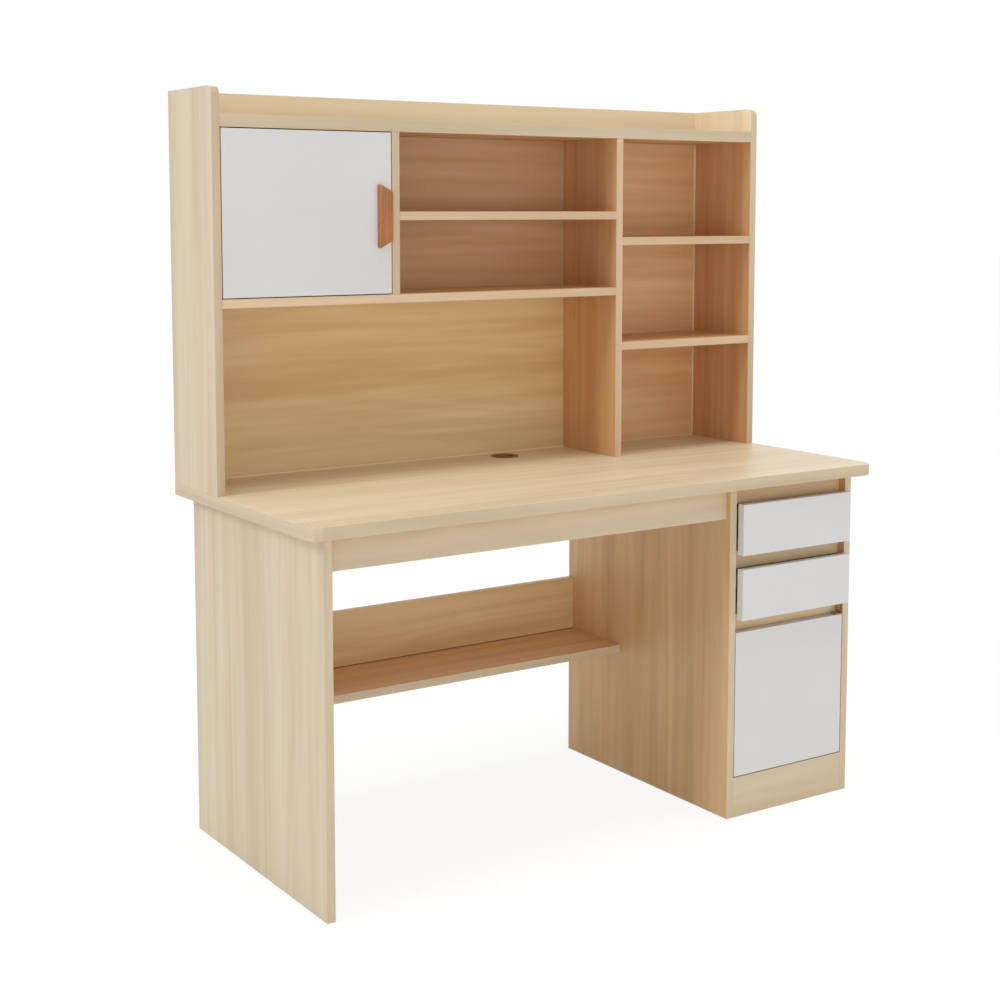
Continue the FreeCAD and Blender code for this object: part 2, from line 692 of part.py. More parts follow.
def drawer(name, foot, top):
    """One drawer with its box, fittings and pair of three-part slides."""
    side_foot = f"{foot} + drawer_side_lift"
    side_top = f"{side_foot} + drawer_side_height"
    middle = f"{side_foot} + drawer_side_height / 2"
    bottom_foot = f"{side_foot} + drawer_bottom_lift"
    bottom_top = f"{bottom_foot} + drawer_bottom_thickness"
    groove_z = (f"{bottom_foot} - fit_gap", f"{bottom_top} + fit_gap")
    bottom_x = ("drawer_inner_left - groove_depth + fit_gap", "drawer_inner_right + groove_depth - fit_gap")
    box_y = ("drawer_box_front", "drawer_box_back")
    groove_y = ("drawer_box_front - overrun", "drawer_box_back + overrun")
    screws = f"{name}_fittings"
    hole(f"{name}_front", block(f"{name}_front_groove",
                                ("drawer_inner_left - groove_depth", "drawer_inner_right + groove_depth"),
                                ("drawer_box_front - groove_depth", "drawer_box_front + overrun"), groove_z))
    for side, outer_x, inner_x, groove_x, face, out in (
        ("left", "drawer_left", "drawer_inner_left",
         ("drawer_inner_left - groove_depth", "drawer_inner_left + overrun"), "+x", "-x"),
        ("right", "drawer_right", "drawer_inner_right",
         ("drawer_inner_right - overrun", "drawer_inner_right + groove_depth"), "-x", "+x"),
    ):
        label = f"{name}_{side}_side"
        hole(label, block(f"{label}_groove", groove_x, groove_y, groove_z))
        outwards, inwards = ("-", "+") if side == "left" else ("+", "-")
        add_cam((f"{inner_x} {outwards} cam_bolt_depth", "drawer_box_front", middle), "+y", face,
                f"{name}_front", label, screws, screws)
        for share in BOX_SCREW_SHARES:
            seat = (f"{outer_x} {inwards} box_screw_head_height", "drawer_box_back - drawer_side / 2",
                    between(bottom_top, side_top, share))
            add_screw(screws, seat, out, (label, f"{name}_back"), box_screw_master, box_screw_bore,
                      box_screw_sunk_bore)
        for rail, node, near, far, web_near, shift, inset in (
            ("outer", f"{name}_outer_rails", "0", "outer_rail_reach", True, "0", "0"),
            ("middle", f"{name}_middle_rails", "middle_rail_from", "middle_rail_to", True,
             "drawer_rest / 2", "rail_step"),
            ("inner", f"{name}_inner_rails", "inner_rail_from", "slide_space", False,
             "drawer_rest", "rail_step + rail_step"),
        ):
            rail_front = f"slide_front - ({shift})"
            rail_back = f"{rail_front} + slide_length"
            rail_label = f"{name}_{side}_{rail}_rail"
            blank, hollow = channel(rail_label, side, near, far, web_near, (rail_front, rail_back), middle,
                                    f"slide_height / 2 - ({inset})")
            hole(rail_label, hollow)
            if rail != "middle":
                seat_near = "slide_gauge" if rail == "outer" else "slide_space - slide_gauge"
                seat_x = slide_side(side, seat_near, seat_near)[0]
                head = face if rail == "outer" else out
                host = f"pedestal_{side}_panel" if rail == "outer" else label
                screw_node = "carcass_screws" if rail == "outer" else screws
                for share in RAIL_SCREW_SHARES:
                    seat = (seat_x, between(rail_front, rail_back, share), middle)
                    add_screw(screw_node, seat, head, (rail_label, host))
            fitting(node, cut(rail_label, blank, holes[rail_label]))
        side_x = (outer_x, inner_x) if side == "left" else (inner_x, outer_x)
        board(label, side_x, box_y, (side_foot, side_top))
    board(f"{name}_front", ("cabinet_door_left", "cabinet_door_right"),
          ("drawer_front_face", "drawer_box_front"), (foot, top))
    board(f"{name}_back", ("drawer_inner_left", "drawer_inner_right"),
          ("drawer_box_back - drawer_side", "drawer_box_back"), (bottom_top, side_top))
    board(f"{name}_bottom", bottom_x, ("drawer_box_front - groove_depth + fit_gap", "drawer_box_back"),
          (bottom_foot, bottom_top))


drawer("upper_drawer", "upper_front_foot", "upper_front_top")
drawer("lower_drawer", "lower_front_foot", "lower_front_top")

# Cable grommet: a flanged sleeve in a round hole near the back of the desktop.
grommet_at = ("grommet_x", "grommet_y", "desk_height")
hole("desktop", rod("grommet_hole", "grommet_sleeve_radius + fit_gap", "-desktop_thickness - overrun",
                    "overrun", at=grommet_at))
hole("cable_grommet", rod("grommet_bore", "grommet_bore_radius", "-grommet_sleeve_length - overrun",
                          "grommet_flange_height + overrun", at=grommet_at))
grommet_blank = fuse("cable_grommet_blank", [
    rod("grommet_flange", "grommet_flange_radius", "0", "grommet_flange_height", at=grommet_at),
    rod("grommet_sleeve", "grommet_sleeve_radius", "-grommet_sleeve_length", "grommet_flange_height",
        at=grommet_at),
])
keep("cable_grommet", cut("cable_grommet", grommet_blank, holes["cable_grommet"]))

# Desk boards.
panel_y = ("panel_front", "back_edge")
rounded_board("desktop", ("left_edge", "right_edge"), ("front_edge", "back_edge"),
              ("underside", "desk_height"), "desktop_corner_radius",
              (("left", "front"), ("right", "front")), "z")
board("left_leg_panel", ("leg_outer", "leg_inner"), panel_y, ("0", "underside"))
board("pedestal_left_panel", ("pedestal_left", "bay_left"), panel_y, ("0", "underside"))
board("pedestal_right_panel", ("bay_right", "pedestal_right"), panel_y, ("0", "underside"))
board("front_apron", knee, ("apron_front", "apron_front + board"), ("apron_foot", "underside"))
board("modesty_panel", knee, ("modesty_front", "back_edge"), ("foot_shelf_foot", "modesty_top"))
board("foot_shelf", knee, ("foot_shelf_front", "modesty_front"), ("foot_shelf_foot", "foot_shelf_height"))
board("pedestal_plinth", bay, ("panel_front", "plinth_back"), ("0", "plinth_height"))
board("pedestal_bottom", bay, ("plinth_back", "pedestal_back_front"),
      ("pedestal_bottom_foot", "plinth_height"))
for label, (front, foot, top) in rails.items():
    board(label, bay, (front, f"{front} + board"), (foot, top))
board("pedestal_back_panel", ("bay_left - groove_depth + fit_gap", "bay_right + groove_depth - fit_gap"),
      ("pedestal_back_front", "pedestal_back_front + back_thickness"),
      ("pedestal_bottom_foot", "underside - fit_gap"))

# Hutch boards.
shelf_y = ("hutch_front", "shelf_back")
for label, span in (
    ("hutch_left_side", ("left_edge", "hutch_left_inner")),
    ("hutch_right_side", ("hutch_right_inner", "right_edge")),
):
    rounded_board(label, span, ("hutch_front", "back_edge"), ("desk_height", "hutch_top"),
                  "hutch_corner_radius", (("front", "top"),), "x")
board("hutch_top_board", ("hutch_left_inner", "hutch_right_inner"), shelf_y, ("top_board_foot", "tray_floor"))
board("hutch_back_panel",
      ("hutch_left_inner - groove_depth + fit_gap", "hutch_right_inner + groove_depth - fit_gap"),
      ("shelf_back", "back_edge"), ("desk_height + back_panel_lift", "hutch_top"))
board("hutch_main_divider", ("main_divider_left", "main_divider_right"), shelf_y,
      ("desk_height", "top_board_foot"))
board("hutch_short_divider", ("short_divider_left", "short_divider_right"), shelf_y,
      ("long_shelf_top", "top_board_foot"))
board("hutch_long_shelf", ("hutch_left_inner", "main_divider_left"), shelf_y,
      ("long_shelf_foot", "long_shelf_top"))
board("hutch_middle_shelf", ("short_divider_right", "main_divider_left"), shelf_y,
      ("middle_shelf_foot", "middle_shelf_foot + board"))
board("hutch_right_upper_shelf", ("main_divider_right", "hutch_right_inner"), shelf_y,
      ("right_upper_foot", "right_upper_foot + board"))
board("hutch_right_lower_shelf", ("main_divider_right", "hutch_right_inner"), shelf_y,
      ("right_lower_foot", "right_lower_foot + board"))

# Doors, catches and strikes.
board("hutch_door_panel", ("hutch_door_left", "hutch_door_right"), ("hutch_front", "hutch_door_back"),
      ("hutch_door_foot", "hutch_door_top"))
board("cabinet_door_panel", ("cabinet_door_left", "cabinet_door_right"),
      ("panel_front", "panel_front + front_thickness"), ("cabinet_door_foot", "cabinet_door_top"))
hutch_catch_x = ("hutch_catch_left", "hutch_catch_right")
cabinet_catch_x = ("cabinet_catch_left", "cabinet_catch_right")
fitting("door_catches", block("hutch_catch", hutch_catch_x,
                              ("hutch_front + catch_set", "hutch_front + catch_set + catch_depth"),
                              ("top_board_foot - catch_height", "top_board_foot")))
fitting("door_catches", block("cabinet_catch", cabinet_catch_x,
                              ("panel_front + catch_set", "panel_front + catch_set + catch_depth"),
                              ("lower_rail_foot - catch_height", "lower_rail_foot")))
fitting("hutch_door_strike", block("hutch_strike", hutch_catch_x,
                                   ("hutch_door_back", "hutch_door_back + strike_thickness"),
                                   ("top_board_foot - catch_height", "hutch_door_top")))
fitting("cabinet_door_strike", block("cabinet_strike", cabinet_catch_x,
                                     ("panel_front + front_thickness",
                                      "panel_front + front_thickness + strike_thickness"),
                                     ("lower_rail_foot - catch_height", "cabinet_door_top")))
keep("cabinet_door_bracket", cut("cabinet_door_bracket", bracket_blank, holes["cabinet_door_bracket"]))

# Door pull: a tapered block, longer on the side away from the door edge, with eased edges.
pull_body = doc.addObject("PartDesign::Body", "hutch_door_pull_blank")
pull_wedge = pull_body.newObject("PartDesign::AdditiveWedge", "pull_wedge")
bind(pull_wedge, Xmin="0", Xmax="pull_thickness", X2min="0", X2max="pull_thickness")
bind(pull_wedge, Ymin="0", Ymax="pull_width")
bind(pull_wedge, Zmin="0", Zmax="pull_length", Z2min="pull_taper", Z2max="pull_length - pull_taper")
doc.recompute()
outer_x = pull_wedge.Shape.BoundBox.XMax
outer_edges = []
for number, edge in enumerate(pull_wedge.Shape.Edges, 1):
    if any(vertex.Point.x > outer_x / 2 for vertex in edge.Vertexes):
        outer_edges.append(f"Edge{number}")
ease(pull_body, pull_wedge, "pull_edge_radius", outer_edges)
turn(pull_body, "+z", "-y")
place(pull_body, (pull_left, "hutch_front", pull_foot))
keep("hutch_door_pull", cut("hutch_door_pull", pull_body, holes["hutch_door_pull"]))

# Groups of small fittings, one node each.
for node, solids in fittings.items():
    keep(node, group(node, solids))

doc.recompute()
for thing in doc.Objects:
    if "Invalid" in thing.State or "Error" in thing.State:
        raise RuntimeError(f"{thing.Name} failed: {thing.State}")
for part in parts:
    if part.Shape.isNull() or not part.Shape.isValid():
        raise RuntimeError(f"{part.Label} has no valid shape")
os.makedirs("parts", exist_ok=True)
for part in parts:
    part.Shape.exportStep(f"parts/{part.Label}.step")
print(len(parts), "sub-parts,", sum(len(part.Shape.Solids) for part in parts), "solids")
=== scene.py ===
"""Looks of the student desk with hutch: finishes, cable grommet, corner beads, studio light and camera."""
import math

import bmesh
import bpy
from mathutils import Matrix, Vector


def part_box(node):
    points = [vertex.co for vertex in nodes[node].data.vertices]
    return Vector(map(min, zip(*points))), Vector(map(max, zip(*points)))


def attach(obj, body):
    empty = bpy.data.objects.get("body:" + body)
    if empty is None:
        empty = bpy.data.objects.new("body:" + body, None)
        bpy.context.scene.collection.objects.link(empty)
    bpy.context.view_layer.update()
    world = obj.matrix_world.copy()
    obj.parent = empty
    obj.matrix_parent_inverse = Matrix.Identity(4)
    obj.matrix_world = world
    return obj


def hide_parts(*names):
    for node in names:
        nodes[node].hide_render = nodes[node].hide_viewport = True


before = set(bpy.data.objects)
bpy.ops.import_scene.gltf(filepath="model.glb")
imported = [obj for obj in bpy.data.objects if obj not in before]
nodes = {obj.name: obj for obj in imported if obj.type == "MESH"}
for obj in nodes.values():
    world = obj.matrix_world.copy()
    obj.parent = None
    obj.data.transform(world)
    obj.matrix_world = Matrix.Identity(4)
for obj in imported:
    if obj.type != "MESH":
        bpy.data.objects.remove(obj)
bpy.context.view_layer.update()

MM = 0.001
X, Y, Z = 0, 1, 2


# Tools for the finishes

# Most of a noise lies between these two values, and they give the sharpest and the dullest sheen
NOISE_LOW, NOISE_HIGH = 0.3, 0.7
SHEEN_SPAN = 0.12


def paint(code):
    """An sRGB hex colour as the linear colour that a shader takes."""
    parts = [int(code[i:i + 2], 16) / 255 for i in (1, 3, 5)]
    linear = [p / 12.92 if p <= 0.04045 else ((p + 0.055) / 1.055) ** 2.4 for p in parts]
    return (*linear, 1.0)


def add(tree, kind, feeds=None, **settings):
    """Adds one node, sets it up, and links or sets what feeds its sockets."""
    made = tree.nodes.new(kind)
    for name, value in settings.items():
        setattr(made, name, value)
    for socket, value in (feeds or {}).items():
        if isinstance(value, bpy.types.NodeSocket):
            tree.links.new(value, made.inputs[socket])
        else:
            made.inputs[socket].default_value = value
    return made


def new_finish(name, **sockets):
    """A material with one shader, whose constant values are set on its own sockets."""
    material = bpy.data.materials.new(name)
    material.use_nodes = True
    tree = material.node_tree
    tree.nodes.clear()
    shader = add(tree, "ShaderNodeBsdfPrincipled", sockets)
    add(tree, "ShaderNodeOutputMaterial", {"Surface": shader.outputs["BSDF"]})
    source = add(tree, "ShaderNodeTexCoord")
    return material, tree, shader, source


def streak_scale(grain, width, length):
    """The scale at which a streak is so many millimetres wide and, along the grain, so many long."""
    scale = [1 / (width * MM)] * 3
    scale[grain] = 1 / (length * MM)
    return scale


# Oak-print melamine laminate. Printed paper under a satin melamine skin: wide sheets and bands of tone, fine
# streaks along the grain, a faint flame figure, and pressed pores that break up the sheen. The pores are drawn
# 1.8 mm wide so that they show. The print is painted in lit and shaded copies: warmer and darker inside the
# cases as painted shade and bounce light, and paler on the outer faces as painted light. The edge strips have
# tones of their own, and some of these are painted light and shade as well. The strip on a board's end runs
# along that end.

# Pale and dark tone of the print, by the place where it shows. Most of them are lit and shaded copies of one
# print: painted light and shade for that place.
EDGE = ("#D4C3A4", "#C6B291")      # most edge strips and back faces
LIT_SIDE = ("#D8C9AE", "#CAB899")      # outer sides: a paler copy of the print, painted light
LIT_TOP = ("#E6D7B9", "#DBC7A4")       # desktop's top face: a paler copy of the print, painted light
LIT_CROWN = ("#F5E1BE", "#E7D1AD")     # gallery above the hutch's top board: the palest copy, painted light where light falls from above
LIP_BOUNCE = ("#E1C5A3", "#D2B490")       # edge strips of the shelves and the main divider: warmer than the other strips, painted bounce light from the insides
STILE_SHADE = ("#CEB79A", "#C1A788")     # edge strips beside the hutch door: darker, painted shade
INSIDE_SHADE = ("#DFB584", "#CB9868")      # insides of the cases: warmer and darker, painted shade and bounce light
KNEE_SHADE = ("#E1C090", "#CBA878")      # pedestal's side towards the knees: painted shade and bounce light
LINING_SHADE = ("#E2C693", "#CDA872")    # back panel over the desktop, and modesty panel: painted shade and bounce light
NOOK_SHADE = ("#E9C18E", "#D5A470")      # back panel in the right-hand nooks: painted shade and bounce light
CUBBY_SHADE = ("#D8B185", "#C49668")     # back panel over the long shelf: darker, painted shade and bounce light
FOOT_SHADE = ("#E5C092", "#CFA779")      # foot shelf: painted shade and bounce light
RAIL_LIGHT = ("#E8CFA6", "#D4B286")      # rails in the finger gaps: paler, painted light against the shade of the gaps
LOW_RAIL_LIGHT = ("#F8DDB2", "#E3BE8F")  # lower rail, which lies deeper: paler still, painted light against its deeper shade
BEAD_HIGHLIGHT = ("#EFD6AD", "#E2C69B")   # corner beads: pale, painted highlight along the back panel's corners
JOINT_SHADOW = ("#96764A", "#86653A")      # dark line of painted shadow along the joint of the modesty panel and the foot shelf

# Layers of the print: a streak's width and length in millimetres, its detail, and its share of the tone
PRINT_LAYERS = {
    "sheets": (110, 1600, 0.0, 0.5),
    "bands": (36, 800, 1.0, 0.55),
    "streaks": (12, 420, 2.0, 0.2),
    "pores": (1.8, 45, 1.0, 0.06),
}
FLAME_WIDTH, FLAME_LENGTH, FLAME_BEND = 120, 1500, 0.2
FLAME_RINGS, FLAME_SHARE = 70.0, 0.03
TONE_PALE, TONE_DARK = 0.49, 0.82
PORE_DEPTH, PORE_STRENGTH = 0.15 * MM, 0.12
FACING_LIMIT = 0.6


def facing(tree, source, axis, way):
    """1 on the faces that look along an axis, or against it, and 0 elsewhere."""
    parts = add(tree, "ShaderNodeSeparateXYZ", {"Vector": source.outputs["Normal"]})
    along = add(tree, "ShaderNodeMath", {0: parts.outputs[axis], 1: way}, operation="MULTIPLY")
    return add(tree, "ShaderNodeMath", {0: along.outputs[0], 1: FACING_LIMIT},
               operation="GREATER_THAN").outputs[0]


def beyond(tree, source, axis, line):
    """1 past a line across the board and 0 before it."""
    parts = add(tree, "ShaderNodeSeparateXYZ", {"Vector": source.outputs["Object"]})
    return add(tree, "ShaderNodeMath", {0: parts.outputs[axis], 1: line},
               operation="GREATER_THAN").outputs[0]


def oak_laminate(name, grain, start, print_tones, shown, gloss):
    """The print along one axis, with other tones where the masks of the shown faces are 1."""
    material, tree, shader, source = new_finish(name, IOR=1.5)

    # On a board's ends the print is turned, so that the strip's streaks run along the end
    parts = add(tree, "ShaderNodeSeparateXYZ", {"Vector": source.outputs["Object"]}).outputs
    order = [X, Y, Z]
    strip = Z if grain == Y else Y
    order[grain], order[strip] = strip, grain
    turned = add(tree, "ShaderNodeCombineXYZ", {i: parts[axis] for i, axis in enumerate(order)})
    ends = add(tree, "ShaderNodeMath", {
        0: facing(tree, source, grain, 1), 1: facing(tree, source, grain, -1)}, operation="MAXIMUM")
    place = add(tree, "ShaderNodeMix", {
        "Factor": ends.outputs[0], 4: source.outputs["Object"], 5: turned.outputs[0]},
        data_type="VECTOR").outputs[1]

    # The layers add up to the depth of tone
    layers = {}
    tone = 0.0
    for layer, (width, length, detail, share) in PRINT_LAYERS.items():
        streak = add(tree, "ShaderNodeMapping", {
            "Vector": place, "Location": start, "Scale": streak_scale(grain, width, length)})
        noise = add(tree, "ShaderNodeTexNoise", {
            "Vector": streak.outputs["Vector"], "Scale": 1.0, "Detail": detail})
        layers[layer] = noise.outputs["Fac"]
        tone = add(tree, "ShaderNodeMath", {0: layers[layer], 1: share, 2: tone},
                   operation="MULTIPLY_ADD").outputs[0]
    tongue = add(tree, "ShaderNodeMapping", {
        "Vector": place, "Location": start, "Scale": streak_scale(grain, FLAME_WIDTH, FLAME_LENGTH)})
    flame = add(tree, "ShaderNodeTexNoise", {
        "Vector": tongue.outputs["Vector"], "Scale": 1.0, "Detail": 1.0, "Distortion": FLAME_BEND})
    turns = add(tree, "ShaderNodeMath", {0: flame.outputs["Fac"], 1: FLAME_RINGS}, operation="MULTIPLY")
    rings = add(tree, "ShaderNodeMath", {0: turns.outputs[0]}, operation="SINE")
    tone = add(tree, "ShaderNodeMath", {0: rings.outputs[0], 1: FLAME_SHARE, 2: tone},
               operation="MULTIPLY_ADD").outputs[0]
    depth = add(tree, "ShaderNodeMapRange", {
        "Value": tone, "From Min": TONE_PALE, "From Max": TONE_DARK}).outputs["Result"]

    # Each later face lies over the earlier ones
    colour = None
    for mask, (pale, dark) in ((None, print_tones), *shown):
        printed = add(tree, "ShaderNodeMix", {
            "Factor": depth, 6: paint(pale), 7: paint(dark)}, data_type="RGBA").outputs[2]
        if mask is None:
            colour = printed
        else:
            kind, axis, value = mask
            colour = add(tree, "ShaderNodeMix", {
                "Factor": kind(tree, source, axis, value), 6: colour, 7: printed},
                data_type="RGBA").outputs[2]
    tree.links.new(colour, shader.inputs["Base Color"])

    sheen = add(tree, "ShaderNodeMapRange", {
        "Value": layers["streaks"], "From Min": NOISE_LOW, "From Max": NOISE_HIGH,
        "To Min": gloss, "To Max": gloss + SHEEN_SPAN})
    tree.links.new(sheen.outputs["Result"], shader.inputs["Roughness"])
    pressed = add(tree, "ShaderNodeBump", {
        "Height": layers["pores"], "Strength": PORE_STRENGTH, "Distance": PORE_DEPTH})
    tree.links.new(pressed.outputs["Normal"], shader.inputs["Normal"])
    return material


# White melamine fronts. A hard factory coat with a faint orange peel, drawn 4 mm coarse so that it shows.

WHITE, WHITE_SHADE = "#DCDBD9", "#D7D6D4"
WHITE_CLOUD, PEEL = 180 * MM, 4 * MM
WHITE_GLOSS, WHITE_DULL = 0.3, 0.38
PEEL_DEPTH, PEEL_STRENGTH = 0.1 * MM, 0.05


def white_front(name):
    material, tree, shader, source = new_finish(name, IOR=1.5)
    place = source.outputs["Object"]
    cloud = add(tree, "ShaderNodeTexNoise", {"Vector": place, "Scale": 1 / WHITE_CLOUD, "Detail": 1.0})
    colour = add(tree, "ShaderNodeMix", {
        "Factor": cloud.outputs["Fac"], 6: paint(WHITE), 7: paint(WHITE_SHADE)}, data_type="RGBA")
    tree.links.new(colour.outputs[2], shader.inputs["Base Color"])
    peel = add(tree, "ShaderNodeTexNoise", {"Vector": place, "Scale": 1 / PEEL, "Detail": 2.0})
    gloss = add(tree, "ShaderNodeMapRange", {
        "Value": peel.outputs["Fac"], "From Min": NOISE_LOW, "From Max": NOISE_HIGH,
        "To Min": WHITE_GLOSS, "To Max": WHITE_DULL})
    tree.links.new(gloss.outputs["Result"], shader.inputs["Roughness"])
    skin = add(tree, "ShaderNodeBump", {
        "Height": peel.outputs["Fac"], "Strength": PEEL_STRENGTH, "Distance": PEEL_DEPTH})
    tree.links.new(skin.outputs["Normal"], shader.inputs["Normal"])
    return material


# Solid beech for the pull and the dowels: short dark flecks and soft growth lines along the length.

LINE_WIDTH, LINE_LENGTH, LINE_START = 5, 130, (3.0, 1.0, 7.0)
FLECK_WIDTH, FLECK_LENGTH, FLECK_START = 1.6, 9, (1.0, 5.0, 2.0)
FLECK_SHARE = 0.35
BEECH_PALE, BEECH_DARK = 0.5, 0.85
BEECH_DEPTH, BEECH_STRENGTH = 0.15 * MM, 0.1


def beech(name, grain, pale, dark, gloss):
    material, tree, shader, source = new_finish(name, IOR=1.5, Roughness=gloss)
    place = source.outputs["Object"]
    growth = add(tree, "ShaderNodeMapping", {
        "Vector": place, "Location": LINE_START, "Scale": streak_scale(grain, LINE_WIDTH, LINE_LENGTH)})
    lines = add(tree, "ShaderNodeTexNoise", {
        "Vector": growth.outputs["Vector"], "Scale": 1.0, "Detail": 2.0})
    short = add(tree, "ShaderNodeMapping", {
        "Vector": place, "Location": FLECK_START, "Scale": streak_scale(grain, FLECK_WIDTH, FLECK_LENGTH)})
    flecks = add(tree, "ShaderNodeTexNoise", {
        "Vector": short.outputs["Vector"], "Scale": 1.0, "Detail": 1.0})
    tone = add(tree, "ShaderNodeMath", {
        0: flecks.outputs["Fac"], 1: FLECK_SHARE, 2: lines.outputs["Fac"]}, operation="MULTIPLY_ADD")
    depth = add(tree, "ShaderNodeMapRange", {
        "Value": tone.outputs[0], "From Min": BEECH_PALE, "From Max": BEECH_DARK})
    colour = add(tree, "ShaderNodeMix", {
        "Factor": depth.outputs["Result"], 6: paint(pale), 7: paint(dark)}, data_type="RGBA")
    tree.links.new(colour.outputs[2], shader.inputs["Base Color"])
    open_grain = add(tree, "ShaderNodeBump", {
        "Height": tone.outputs[0], "Strength": BEECH_STRENGTH, "Distance": BEECH_DEPTH})
    tree.links.new(open_grain.outputs["Normal"], shader.inputs["Normal"])
    return material


# Moulded ABS for the grommet and the door fittings: a dull skin with a spark-eroded grain, drawn 0.9 mm coarse
# so that it shows.

ABS_GRIT = 0.9 * MM
ABS_GLOSS = 0.42
ABS_DEPTH, ABS_STRENGTH = 0.1 * MM, 0.15


def moulded(name, pale, dark):
    material, tree, shader, source = new_finish(name, IOR=1.49)
    place = source.outputs["Object"]
    grain = add(tree, "ShaderNodeTexNoise", {"Vector": place, "Scale": 1 / ABS_GRIT, "Detail": 2.0})
    colour = add(tree, "ShaderNodeMix", {
        "Factor": grain.outputs["Fac"], 6: paint(pale), 7: paint(dark)}, data_type="RGBA")
    tree.links.new(colour.outputs[2], shader.inputs["Base Color"])
    dull = add(tree, "ShaderNodeMapRange", {
        "Value": grain.outputs["Fac"], "From Min": NOISE_LOW, "From Max": NOISE_HIGH,
        "To Min": ABS_GLOSS, "To Max": ABS_GLOSS + SHEEN_SPAN})
    tree.links.new(dull.outputs["Result"], shader.inputs["Roughness"])
    skin = add(tree, "ShaderNodeBump", {
        "Height": grain.outputs["Fac"], "Strength": ABS_STRENGTH, "Distance": ABS_DEPTH})
    tree.links.new(skin.outputs["Normal"], shader.inputs["Normal"])
    return material


# Zinc-plated steel for the slides, pins and screws: a soft spangle of brighter and duller patches.

ZINC_DARK, ZINC_PALE = "#B9BDC2", "#D3D6D9"
SPANGLE, ZINC_CLOUD = 7 * MM, 25 * MM
ZINC_GLOSS, ZINC_DULL = 0.26, 0.42


def zinc_steel(name):
    material, tree, shader, source = new_finish(name, Metallic=1.0)
    place = source.outputs["Object"]
    spangle = add(tree, "ShaderNodeTexVoronoi", {"Vector": place, "Scale": 1 / SPANGLE})
    cloud = add(tree, "ShaderNodeTexNoise", {"Vector": place, "Scale": 1 / ZINC_CLOUD, "Detail": 2.0})
    patch = add(tree, "ShaderNodeMix", {
        "Factor": 0.5, 6: spangle.outputs["Color"], 7: cloud.outputs["Color"]}, data_type="RGBA")
    grey = add(tree, "ShaderNodeRGBToBW", {"Color": patch.outputs[2]})
    colour = add(tree, "ShaderNodeMix", {
        "Factor": grey.outputs[0], 6: paint(ZINC_DARK), 7: paint(ZINC_PALE)}, data_type="RGBA")
    tree.links.new(colour.outputs[2], shader.inputs["Base Color"])
    dull = add(tree, "ShaderNodeMapRange", {
        "Value": grey.outputs[0], "To Min": ZINC_GLOSS, "To Max": ZINC_DULL})
    tree.links.new(dull.outputs["Result"], shader.inputs["Roughness"])
    return material


# Every board gets its own stretch of print. A row gives the grain's axis, the tones of the board, and the faces
# and places with other tones. Most of these tones are painted light and shade.

FRONT, REAR = (facing, Y, -1), (facing, Y, 1)
LEFT, RIGHT = (facing, X, -1), (facing, X, 1)
OVER, UNDER = (facing, Z, 1), (facing, Z, -1)
top_low, top_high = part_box("hutch_top_board")
# Places where the print takes its painted light and shade tones
GALLERY = (beyond, Z, (top_low.z + top_high.z) / 2)
CUBBIES = (beyond, Z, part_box("hutch_long_shelf")[0].z)
NOOKS = (beyond, X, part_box("hutch_main_divider")[0].x)
